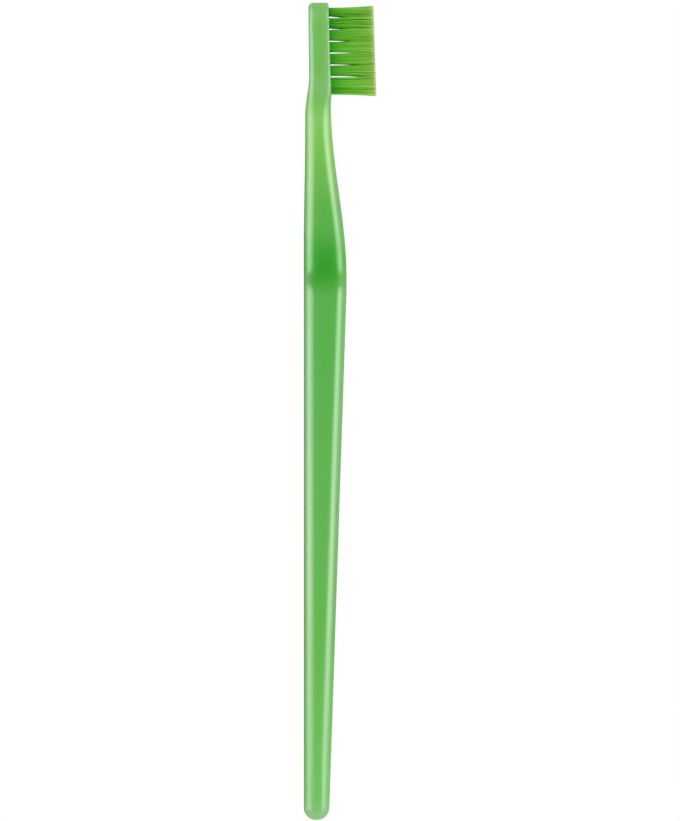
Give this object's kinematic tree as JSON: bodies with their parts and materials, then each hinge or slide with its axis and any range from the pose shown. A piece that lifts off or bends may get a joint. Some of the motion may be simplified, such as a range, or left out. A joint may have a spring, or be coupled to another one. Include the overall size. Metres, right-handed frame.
{
  "type": "manual toothbrush",
  "caption": "Slim manual toothbrush in translucent green plastic: tapering grip, thumb swell, narrow neck and a compact head with a flat-trimmed field of green tufts.",
  "frame": {"origin": "middle of the brush's length and width, on the plane of its flat back", "axes": "+X along the brush towards the head, +Z the way the bristles point, +Y completes the frame"},
  "size_m": [0.18, 0.0128, 0.016],
  "materials": {
    "handle_plastic": "translucent green moulding with a soft gloss",
    "bristle_nylon": "fine translucent green filament with rounded tips",
    "anchor_wire": "bright rolled wire, cut to length"
  },
  "bodies": {
    "root": {"handle": "handle_plastic", "tuft_r1_c1": "bristle_nylon", "tuft_r1_c2": "bristle_nylon", "tuft_r2_c1": "bristle_nylon", "tuft_r2_c2": "bristle_nylon", "tuft_r2_c3": "bristle_nylon", "tuft_r3_c1": "bristle_nylon", "tuft_r3_c2": "bristle_nylon", "tuft_r3_c3": "bristle_nylon", "tuft_r3_c4": "bristle_nylon", "tuft_r4_c1": "bristle_nylon", "tuft_r4_c2": "bristle_nylon", "tuft_r4_c3": "bristle_nylon", "tuft_r4_c4": "bristle_nylon", "tuft_r5_c1": "bristle_nylon", "tuft_r5_c2": "bristle_nylon", "tuft_r5_c3": "bristle_nylon", "tuft_r5_c4": "bristle_nylon", "tuft_r6_c1": "bristle_nylon", "tuft_r6_c2": "bristle_nylon", "tuft_r6_c3": "bristle_nylon", "tuft_r6_c4": "bristle_nylon", "tuft_r7_c1": "bristle_nylon", "tuft_r7_c2": "bristle_nylon", "tuft_r7_c3": "bristle_nylon", "tuft_r7_c4": "bristle_nylon", "tuft_r8_c1": "bristle_nylon", "tuft_r8_c2": "bristle_nylon", "tuft_r8_c3": "bristle_nylon", "anchor_r1_c1": "anchor_wire", "anchor_r1_c2": "anchor_wire", "anchor_r2_c1": "anchor_wire", "anchor_r2_c2": "anchor_wire", "anchor_r2_c3": "anchor_wire", "anchor_r3_c1": "anchor_wire", "anchor_r3_c2": "anchor_wire", "anchor_r3_c3": "anchor_wire", "anchor_r3_c4": "anchor_wire", "anchor_r4_c1": "anchor_wire", "anchor_r4_c2": "anchor_wire", "anchor_r4_c3": "anchor_wire", "anchor_r4_c4": "anchor_wire", "anchor_r5_c1": "anchor_wire", "anchor_r5_c2": "anchor_wire", "anchor_r5_c3": "anchor_wire", "anchor_r5_c4": "anchor_wire", "anchor_r6_c1": "anchor_wire", "anchor_r6_c2": "anchor_wire", "anchor_r6_c3": "anchor_wire", "anchor_r6_c4": "anchor_wire", "anchor_r7_c1": "anchor_wire", "anchor_r7_c2": "anchor_wire", "anchor_r7_c3": "anchor_wire", "anchor_r7_c4": "anchor_wire", "anchor_r8_c1": "anchor_wire", "anchor_r8_c2": "anchor_wire", "anchor_r8_c3": "anchor_wire"}
  },
  "joints": []
}
